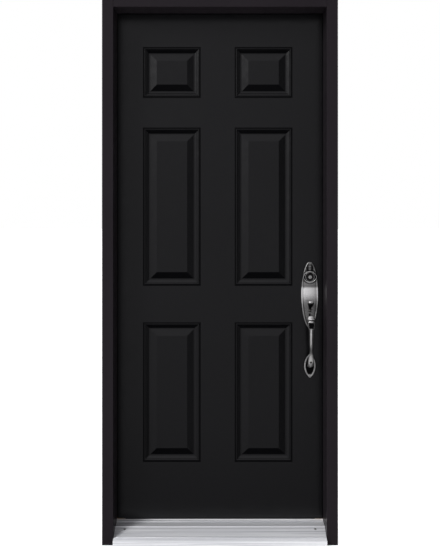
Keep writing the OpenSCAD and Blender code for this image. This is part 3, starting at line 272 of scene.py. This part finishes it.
FINISHES = {
    "frame_paint": upright_paint, "door_paint": door_paint, "seal": seal_vinyl, "substrate": composite,
    "sill_aluminium": aluminium, "cap_composite": cap_material, "zinc_screw": zinc, "nickel": nickel,
    "pewter": pewter, "cylinder_metal": turned, "softwood": softwood, "foam": foam,
}
OTHER_FINISHES = {"head_jamb": level_paint, "key_plug": plug_metal}


def finish_node(node, material):
    node.data.materials.clear()
    node.data.materials.append(material)


for row in frame["record"]["subparts"]:
    finish_node(nodes[row["node"]], OTHER_FINISHES.get(row["node"], FINISHES[row["material_slot"]]))


# ---- Mesh helpers ----------------------------------------------------------------------------

def smooth(t):
    t = min(1.0, max(0.0, t))
    return t * t * (3 - 2 * t)


def hill(x, middle, half):
    """A rounded ridge of height 1 at middle, down to 0 at half to either side."""
    t = abs(x - middle) / half
    return 0.0 if t >= 1 else (1 + math.cos(math.pi * t)) / 2


def new_piece(name, bm, material, body, replaced=()):
    mesh = bpy.data.meshes.new(name)
    bm.to_mesh(mesh)
    bm.free()
    mesh.materials.append(material)
    mesh.shade_smooth()
    piece = bpy.data.objects.new(name, mesh)
    bpy.context.scene.collection.objects.link(piece)
    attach(piece, body)
    if replaced:
        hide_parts(*replaced)
    return piece


def relief_plate(half_width, half_height, centre, surface, columns, rows):
    """A closed plate on the slab's outside face; half_width(v) is its outline.
    surface(u, v, s) gives (height out, tone) at u across, v up, and s, the share of the half width; the
    tone holds patina and rubbed metal and also painted light and shade."""
    bm = bmesh.new()
    wear_and_light = bm.verts.layers.float.new("wear_and_light")
    grid = []
    for j in range(rows + 1):
        v = half_height * math.sin(math.pi / 2 * (2 * j / rows - 1) * 0.9985)
        half = half_width(v)
        line = []
        for i in range(columns + 1):
            s = math.sin(math.pi / 2 * (2 * i / columns - 1))
            height, worn_and_lit = surface(s * half, v, s)
            vert = bm.verts.new((centre[0] + s * half, slab_y - height, centre[1] + v))
            vert[wear_and_light] = worn_and_lit
            line.append(vert)
        grid.append(line)
    for j in range(rows):
        for i in range(columns):
            bm.faces.new((grid[j][i], grid[j][i + 1], grid[j + 1][i + 1], grid[j + 1][i]))
    rim = [grid[0][i] for i in range(columns + 1)] + [grid[j][columns] for j in range(1, rows + 1)] \
        + [grid[rows][i] for i in range(columns - 1, -1, -1)] + [grid[j][0] for j in range(rows - 1, 0, -1)]
    foot = []
    for vert in rim:
        low = bm.verts.new((vert.co.x, slab_y, vert.co.z))
        low[wear_and_light] = 0.1
        foot.append(low)
    for k in range(len(rim)):
        n = (k + 1) % len(rim)
        bm.faces.new((rim[k], foot[k], foot[n], rim[n]))
    bm.faces.new(foot[::-1])
    bmesh.ops.recalc_face_normals(bm, faces=bm.faces)
    return bm


def pointed(width, height):
    """Half width at v of the outline made by two equal arcs that meet in points."""
    radius = (width * width + height * height) / (4 * width)
    return lambda v: max(0.0004, math.sqrt(max(0.0, radius * radius - v * v)) - (radius - width / 2))


def oval(width, height):
    """Half width at v of an oval outline."""
    return lambda v: width / 2 * math.sqrt(max(0.0001, 1 - (2 * v / height) ** 2))


def bored(piece, *cutters):
    """Cuts the holes and leaves the result in the piece's own mesh."""
    bpy.context.view_layer.objects.active = piece
    for cutter in cutters:
        cut = piece.modifiers.new("hole", "BOOLEAN")
        cut.object = cutter
        cut.operation = "DIFFERENCE"
        cut.solver = "EXACT"
        with bpy.context.temp_override(object=piece, active_object=piece):
            bpy.ops.object.modifier_apply(modifier=cut.name)
        bpy.data.objects.remove(cutter)


def cutter_tube(x, z, radius, y_out, y_in, sides=64):
    bm = bmesh.new()
    rings = [[bm.verts.new((x + radius * math.cos(2 * math.pi * k / sides), y,
                            z + radius * math.sin(2 * math.pi * k / sides))) for k in range(sides)]
             for y in (y_out, y_in)]
    for k in range(sides):
        n = (k + 1) % sides
        bm.faces.new((rings[0][k], rings[0][n], rings[1][n], rings[1][k]))
    bm.faces.new(rings[0][::-1])
    bm.faces.new(rings[1])
    bmesh.ops.recalc_face_normals(bm, faces=bm.faces)
    return cutter_object(bm)


def cutter_block(low, high):
    bm = bmesh.new()
    bmesh.ops.create_cube(bm, size=1.0)
    for vert in bm.verts:
        vert.co = Vector(low[k] if vert.co[k] < 0 else high[k] for k in range(3))
    return cutter_object(bm)


def cutter_object(bm):
    mesh = bpy.data.meshes.new("cutter")
    bm.to_mesh(mesh)
    bm.free()
    cutter = bpy.data.objects.new("cutter", mesh)
    bpy.context.scene.collection.objects.link(cutter)
    return cutter


def bezier(p, t):
    u = 1 - t
    return tuple(u ** 3 * p[0][k] + 3 * t * u * u * p[1][k] + 3 * t * t * u * p[2][k] + t ** 3 * p[3][k]
                 for k in range(2))


def along(table, t):
    """A smooth curve through (place, value) pairs."""
    if t <= table[0][0]:
        return table[0][1]
    for (t0, v0), (t1, v1) in zip(table, table[1:]):
        if t <= t1:
            return v0 + (v1 - v0) * smooth((t - t0) / (t1 - t0))
    return table[-1][1]


def swept(path, section, sides, steps):
    """A closed solid along path(t) -> (out, height); section(t, a) -> (across, thickness, tone of patina,
    rubbed metal and painted light).
    """
    bm = bmesh.new()
    wear_and_light = bm.verts.layers.float.new("wear_and_light")
    rings = []
    for j in range(steps + 1):
        t = j / steps
        here = Vector(path(t))
        ahead, behind = Vector(path(min(1, t + 0.002))), Vector(path(max(0, t - 0.002)))
        way = (ahead - behind).normalized()
        ring = []
        for k in range(sides):
            a = 2 * math.pi * k / sides
            across, thick, worn_and_lit = section(t, a)
            vert = bm.verts.new((lock_x + across, slab_y - here.x + thick * way.y, here.y + thick * way.x))
            vert[wear_and_light] = worn_and_lit
            ring.append(vert)
        rings.append(ring)
    for a, b in zip(rings, rings[1:]):
        for k in range(sides):
            n = (k + 1) % sides
            bm.faces.new((a[k], a[n], b[n], b[k]))
    bm.faces.new(rings[0][::-1])
    bm.faces.new(rings[-1])
    bmesh.ops.recalc_face_normals(bm, faces=bm.faces)
    return bm


# ---- Escutcheon ------------------------------------------------------------------------------
# In all the cast pieces heights and distances are in metres, and the tone that the meshes carry goes from 0
# for black patina and painted shade to 1 for bright rubbed metal and painted highlights.

ROOT_DROP = 0.020        # from the latch's centre down to the grip's root
EYE_WIDTH, EYE_HEIGHT = 0.053, 0.045
RIM_AT, COVE_AT = 0.0034, 0.0078        # in from the plate's edge
EYE_FLOOR = 0.0052

def make_escutcheon():
    """The cast plate: an oval with a raised rim, an eye round the cylinder and leaves above it."""
    width, height = plate_high.x - plate_low.x, plate_high.z - plate_low.z
    centre = (lock_x, (plate_low.z + plate_high.z) / 2)
    thick = slab_y - plate_low.y              # out to the top of the eye's rim
    outline = oval(width, height)
    eye_v = bolt_z - centre[1]
    eye_half = EYE_HEIGHT / 2
    eye_r = (EYE_WIDTH ** 2 + EYE_HEIGHT ** 2) / (4 * EYE_HEIGHT)
    root_v = latch_z - ROOT_DROP - centre[1]

    def eye_share(u, v):
        """0 at the eye's outline, 1 at its middle and negative outside."""
        half = math.sqrt(max(0.0, eye_r ** 2 - min(abs(u), eye_r) ** 2)) - (eye_r - eye_half)
        return (half - abs(v - eye_v)) / eye_half

    def surface(u, v, s):
        rim_d = (1 - abs(s)) * outline(v)                        # metres in from the edge
        rim_d = min(rim_d, (height / 2 - abs(v)) * 0.6)
        across = 1 - (u / (width / 2)) ** 2
        face = 0.0042 + 0.0036 * across * (1 - (2 * v / height) ** 2)
        rim = hill(rim_d, RIM_AT, RIM_AT)
        cove = hill(rim_d, COVE_AT, 0.0026)
        out = face * smooth(rim_d / 0.0014 + 0.35) + 0.0012 * rim - 0.0007 * cove
        # Painted reflection: a bright band across the plate below the eye stands in for the light caught in
        # the plate's crown, the face is a little brighter below it, and the bright rim is brightest where
        # the band crosses it.
        painted_reflection_band = smooth((eye_v - 0.032 - v) / 0.016) * smooth((v + 0.060) / 0.075)
        worn_and_lit = 0.38 + 0.56 * painted_reflection_band + 0.12 * smooth((-v - 0.02) / 0.05) * (1 - painted_reflection_band)
        worn_and_lit += (0.92 - worn_and_lit) * rim * (0.35 + 0.65 * painted_reflection_band) - 0.26 * cove * (1 - 0.6 * painted_reflection_band)
        e = eye_share(u, v)
        ridge = hill(e, 0.07, 0.15)
        inside = smooth((e - 0.17) / 0.10)
        ring_d = math.hypot(u, v - eye_v)
        moat = hill(e, -0.20, 0.16) * smooth((0.030 - abs(v - eye_v)) / 0.01)
        around = (1 - inside) * (1 - ridge)
        leaves = smooth((v - eye_v - 0.003) / 0.010) * smooth((rim_d - 0.003) / 0.004) * around
        if leaves > 0:
            angle = math.atan2(u, v - eye_v + 0.024)
            flute = (0.5 + 0.5 * math.cos(angle * 19)) * (0.75 + 0.25 * math.cos((v - eye_v) * 620))
            out += 0.0011 * (flute - 0.4) * leaves
            worn_and_lit += (0.06 + 0.56 * flute - worn_and_lit) * leaves
        feathers = smooth((eye_v - v - 0.016) / 0.006) * smooth((v - eye_v + 0.044) / 0.014) * around
        worn_and_lit += (0.58 + 0.10 * math.cos(u * 2400) - worn_and_lit) * feathers * 0.8
        worn_and_lit -= 0.55 * moat
        out -= 0.0006 * moat
        out += (thick - 0.0016 - out) * ridge * 0.95
        out += (EYE_FLOOR - out) * inside * (1 - ridge)
        worn_and_lit += (0.90 - worn_and_lit) * ridge
        worn_and_lit += (0.03 + 0.85 * hill(ring_d, 0.0172, 0.0014) - worn_and_lit) * inside * (1 - ridge)
        # Painted shade: a shallow recess at the grip's root is painted nearly black for the shade in the
        # gap between the plate and the grip.
        over = v - root_v
        notch = hill(u, 0.0, 0.0042) * smooth((over + 0.002) / 0.003) * smooth((0.016 - over) / 0.004)
        foot = hill(u, 0.0, 0.013) * smooth((0.003 - over) / 0.004) * smooth((over + 0.012) / 0.003)
        root_recess_and_shade = max(notch, foot)
        out -= 0.0022 * root_recess_and_shade
        worn_and_lit += (0.02 - worn_and_lit) * min(1.0, 1.6 * root_recess_and_shade)
        return out, min(1.0, max(0.0, worn_and_lit))

    bm = relief_plate(outline, height / 2, centre, surface, 110, 360)
    piece = new_piece("escutcheon_cast", bm, cast, "door", ["escutcheon"])
    collar = (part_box("cylinder_housing")[1].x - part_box("cylinder_housing")[0].x) / 2
    pin_z = (pin_low.z + pin_high.z) / 2
    slot_half = (pin_high.x - pin_low.x) / 2 - 0.0024
    bored(piece,
          cutter_tube(lock_x, bolt_z, collar - 0.0006, slab_y - 0.03, slab_y + 0.01),
          cutter_block((lock_x - slot_half, slab_y - 0.03, pin_z - 0.0125),
                       (lock_x + slot_half, slab_y + 0.01, pin_z + 0.009)))


# ---- Lower rosette ---------------------------------------------------------------------------

def make_rosette():
    width, height = rosette_high.x - rosette_low.x, rosette_high.z - rosette_low.z
    centre = (lock_x, (rosette_low.z + rosette_high.z) / 2)
    thick = slab_y - rosette_low.y
    outline = pointed(width, height)

    def surface(u, v, s):
        rim_d = (1 - abs(s)) * outline(v)
        rim_d = min(rim_d, (height / 2 - abs(v)) * 0.45)
        rim = smooth(rim_d / 0.0022 + 0.3) * (1 - smooth((rim_d - 0.0058) / 0.0026))
        floor = 0.0026 + 0.0006 * smooth(rim_d / 0.02)
        out = floor + (thick - 0.0004 - floor) * rim
        return out, 0.02 + 0.66 * rim ** 1.5

    bm = relief_plate(outline, height / 2, centre, surface, 72, 170)
    new_piece("lower_rosette_cast", bm, cast, "door", ["lower_rosette"])


# ---- Grip ------------------------------------------------------------------------------------

def make_grip():
    """The arched grip: a curled head, a scooped neck, a slim shaft and a teardrop foot."""
    out = slab_y - grip_low.y - 0.0074
    foot = grip_low.z + 0.0065
    start = latch_z - 0.036
    crest, neck, bend = (out - 0.012, latch_z - 0.020), (out, latch_z - 0.064), (0.036, foot + 0.018)
    spans = [[(0.009, start), (0.024, start), (0.038, latch_z - 0.011), crest],
             [crest, (out - 0.002, latch_z - 0.027), (out + 0.001, latch_z - 0.042), neck],
             [neck, (out - 0.003, latch_z - 0.118), (out - 0.008, foot + 0.050), bend],
             [bend, (0.027, foot + 0.004), (0.016, foot), (0.0042, foot)]]
    widths = [(0, 0.0088), (0.12, 0.0118), (0.22, 0.0146), (0.34, 0.0148), (0.42, 0.0136), (0.50, 0.0106),
              (0.58, 0.0098), (0.64, 0.0068), (0.70, 0.0098), (0.74, 0.0112), (0.85, 0.0112), (1, 0.0104)]

    def path(t):
        k = min(3, int(t * 4))
        return bezier(spans[k], t * 4 - k)

    def section(t, a):
        half = along(widths, t)
        curl = sum(hill(t, place, 0.010) for place in (0.235, 0.262, 0.292))
        half *= 1 + 0.05 * curl
        front = max(0.0, math.sin(a))
        side = abs(math.cos(a))
        depth = 0.58 - 0.14 * smooth((t - 0.3) / 0.2)
        scoop = smooth((t - 0.362) / 0.02) * smooth((0.478 - t) / 0.025)
        scoop *= front * smooth((0.80 - side) / 0.16)
        eye = hill(t, 0.738, 0.014) * smooth((0.45 - side) / 0.2) * front
        thick = depth * half * math.sin(a) * (1 - 0.55 * scoop) + 0.0012 * curl * math.sin(a)
        shaft = smooth((t - 0.46) / 0.04) * smooth((0.68 - t) / 0.04)
        # Painted light: the curls and the foot are painted bright as highlights, a painted highlight streak
        # left of the middle, towards the light, runs down the shaft between sides painted darker, a dark
        # line is painted below the curls, and the end at the plate is painted darker as shade between the
        # parts.
        worn_and_lit = 0.40 + 0.34 * front * (1 - side ** 2) + 0.45 * curl * front
        worn_and_lit -= 0.26 * shaft
        painted_highlight_streak = hill(math.cos(a), -0.20, 0.34) * (0.12 + 0.88 * hill(t, 0.54, 0.11))
        worn_and_lit += 0.85 * shaft * painted_highlight_streak * front
        worn_and_lit += 0.40 * hill(t, 0.72, 0.06) * front
        worn_and_lit -= 1.2 * scoop + 1.2 * eye
        worn_and_lit -= 0.60 * hill(t, 0.325, 0.020)
        worn_and_lit -= 0.5 * smooth((t - 0.96) / 0.03) * (1 - 0.5 * front)
        return half * math.cos(a), thick, min(1.0, max(0.02, worn_and_lit))

    bm = swept(path, section, 48, 260)
    new_piece("grip_cast", bm, cast, "door", ["grip"])


# ---- Thumb piece -----------------------------------------------------------------------------

def make_thumb_piece():
    """The spoon outside the plate, its hub on the pin, and the tail that reaches the latch's arm."""
    pin = Vector((lock_x, (pin_low.y + pin_high.y) / 2, (pin_low.z + pin_high.z) / 2))
    reach = pin.y - thumb_low.y
    rise = thumb_high.z - pin.z - 0.0012
    stem = (pin_high.x - pin_low.x) / 2 - 0.0035
    spans = [(0, 0), (0.27 * reach, 0.003), (0.60 * reach, 0.013), (reach - 0.0006, rise)]

    def path(t):
        p = bezier(spans, t)
        return slab_y - pin.y + p[0], pin.z + p[1]

    def section(t, a):
        spoon = smooth((t - 0.30) / 0.55)
        half = stem + (0.0118 - stem) * spoon
        half *= math.sqrt(max(0.03, 1 - max(0.0, (t - 0.93) / 0.07) ** 2))
        thick = (0.0027 - 0.0011 * t) * math.sin(a)
        thick -= 0.0022 * spoon * (1 - math.cos(a) ** 2) * (1 if math.sin(a) > 0 else 0.6)
        # Painted light: the top side and the tip are painted bright as highlights, and the stem near the
        # pin is painted nearly black as shade beneath the spoon.
        top = max(0.0, math.sin(a))
        worn_and_lit = 0.04 + 0.5 * smooth((t - 0.80) / 0.12) + 0.55 * smooth((t - 0.93) / 0.05)
        worn_and_lit += 0.35 * top
        return half * math.cos(a), thick, min(1.0, worn_and_lit)

    bm = swept(path, section, 36, 70)
    wear_and_light = bm.verts.layers.float["wear_and_light"]
    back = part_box("thumb_piece")[1].y
    low = thumb_low.z
    near, far_side = lock_x + 0.001, lock_x + 0.010
    drop, front, rear = lock_x + 0.007, slab_y + 0.001, slab_y + 0.004
    parts = [((near, pin.y - 0.001, pin.z - 0.002), (lock_x + stem, rear, pin.z + 0.002)),
             ((near, front, pin.z - 0.004), (far_side, rear, pin.z + 0.002)),
             ((drop, front, low), (far_side, rear, pin.z - 0.003)),
             ((drop, front, low), (far_side, back, low + 0.003))]
    for corner, far in parts:
        made = bmesh.ops.create_cube(bm, size=1.0)["verts"]
        for vert in made:
            vert.co = Vector(corner[k] if vert.co[k] < 0 else far[k] for k in range(3))
            vert[wear_and_light] = 0.3
    hub_r = 0.0034
    hub = bmesh.ops.create_cone(bm, segments=32, radius1=hub_r, radius2=hub_r, depth=2 * stem,
                                cap_ends=True)
    for vert in hub["verts"]:
        x, y, z = vert.co
        vert.co = (pin.x + z, pin.y + y, pin.z + x)
        vert[wear_and_light] = 0.3
    bmesh.ops.recalc_face_normals(bm, faces=bm.faces)
    new_piece("thumb_lever_cast", bm, cast, "thumb", ["thumb_piece"])


make_escutcheon()
make_rosette()
make_grip()
make_thumb_piece()


# ---- Floor, light and camera -----------------------------------------------------------------

FLOOR_HALF = 30.0


def make_floor():
    bm = bmesh.new()
    bmesh.ops.create_grid(bm, x_segments=1, y_segments=1, size=FLOOR_HALF)
    mesh = bpy.data.meshes.new("floor")
    bm.to_mesh(mesh)
    bm.free()
    floor = bpy.data.objects.new("floor", mesh)
    bpy.context.scene.collection.objects.link(floor)
    m = Nodes("pale_floor")
    m.link(m.ramp(m.noise(1.5, 3.0), [(0.3, grey(0.80)), (0.7, grey(0.84))]), m.shader.inputs["Base Color"])
    m.link(m.span(m.noise(30.0, 2.0), 0.75, 0.85), m.shader.inputs["Roughness"])
    m.set(Emission_Color=(1, 1, 1, 1), Emission_Strength=0.60)
    mesh.materials.append(m.material)
    floor.visible_glossy = False


def make_world():
    """White to the camera; for the light, soft and dim, brighter from above and the left."""
    world = bpy.data.worlds.new("studio")
    bpy.context.scene.world = world
    world.use_nodes = True
    tree = world.node_tree
    tree.nodes.clear()
    coords = tree.nodes.new("ShaderNodeTexCoord")

    def facing(direction, low, high, from_low, from_high):
        """Goes smoothly from low to high as the cosine to the direction given goes between the last two."""
        dot = tree.nodes.new("ShaderNodeVectorMath")
        dot.operation = "DOT_PRODUCT"
        dot.inputs[1].default_value = Vector(direction).normalized()
        tree.links.new(coords.outputs["Generated"], dot.inputs[0])
        return map_range(tree, dot.outputs["Value"], low, high, from_low, from_high, "SMOOTHSTEP")

    def times(a, b):
        node = tree.nodes.new("ShaderNodeMath")
        node.operation = "MULTIPLY"
        tree.links.new(a, node.inputs[0])
        tree.links.new(b, node.inputs[1])
        return node.outputs[0]

    above = facing((0, 0, 1), 0.03, 1.0, -0.60, -0.22)
    left = facing((-1, 0, 0), 0.22, 1.0, -0.60, -0.10)
    strength = times(times(above, left), facing((-0.5, 0, 0.9), 0.335, 0.575, -0.3, 0.9))
    strength = times(strength, facing((0, 1, 0), 1.0, 2.6, 0.05, 0.6))
    strength = times(strength, facing((1, 0, 0), 1.0, 5.0, 0.80, 0.97))
    dim = tree.nodes.new("ShaderNodeBackground")
    dim.inputs["Color"].default_value = (0.96, 0.95, 1.0, 1)
    tree.links.new(strength, dim.inputs["Strength"])
    white = tree.nodes.new("ShaderNodeBackground")
    white.inputs["Strength"].default_value = 1.0
    white.inputs["Color"].default_value = (1, 1, 1, 1)
    seen = tree.nodes.new("ShaderNodeLightPath")
    mix = tree.nodes.new("ShaderNodeMixShader")
    tree.links.new(seen.outputs["Is Camera Ray"], mix.inputs[0])
    tree.links.new(dim.outputs[0], mix.inputs[1])
    tree.links.new(white.outputs[0], mix.inputs[2])
    out = tree.nodes.new("ShaderNodeOutputWorld")
    tree.links.new(mix.outputs[0], out.inputs["Surface"])


def make_sun(name, place, aim, power, angle):
    light = bpy.data.lights.new(name, "SUN")
    light.energy = power
    light.angle = angle
    lamp = bpy.data.objects.new(name, light)
    lamp.location = place
    lamp.rotation_mode = "QUATERNION"
    lamp.rotation_quaternion = (Vector(aim) - Vector(place)).to_track_quat("-Z", "Y")
    bpy.context.scene.collection.objects.link(lamp)


middle = Vector((0, slab_y, (skin_low.z + skin_high.z) / 2))
make_floor()
make_world()
make_sun("key", (-3.0, -2.9, 3.4), middle, 2.0, 0.35)
make_sun("side", (4.0, 1.2, 2.6), middle, 2.5, 0.35)

DISTANCE = 3.21                          # from the slab's outside face to the camera
CAMERA_HEIGHT = 1.3296
LENS, SENSOR = 53.4, 36.0                # millimetres
SHIFT = -0.14                            # more would crop the door's top in the other views

camera = bpy.data.cameras.new("camera")
camera.lens = LENS
camera.sensor_width = SENSOR
camera.shift_y = SHIFT
camera.dof.use_dof = False
eye = bpy.data.objects.new("camera", camera)
eye.location = (0.0, slab_y - DISTANCE, CAMERA_HEIGHT)
eye.rotation_euler = (math.radians(90), 0, 0)
bpy.context.scene.collection.objects.link(eye)
bpy.context.scene.camera = eye
bpy.context.scene.view_settings.view_transform = "Standard"
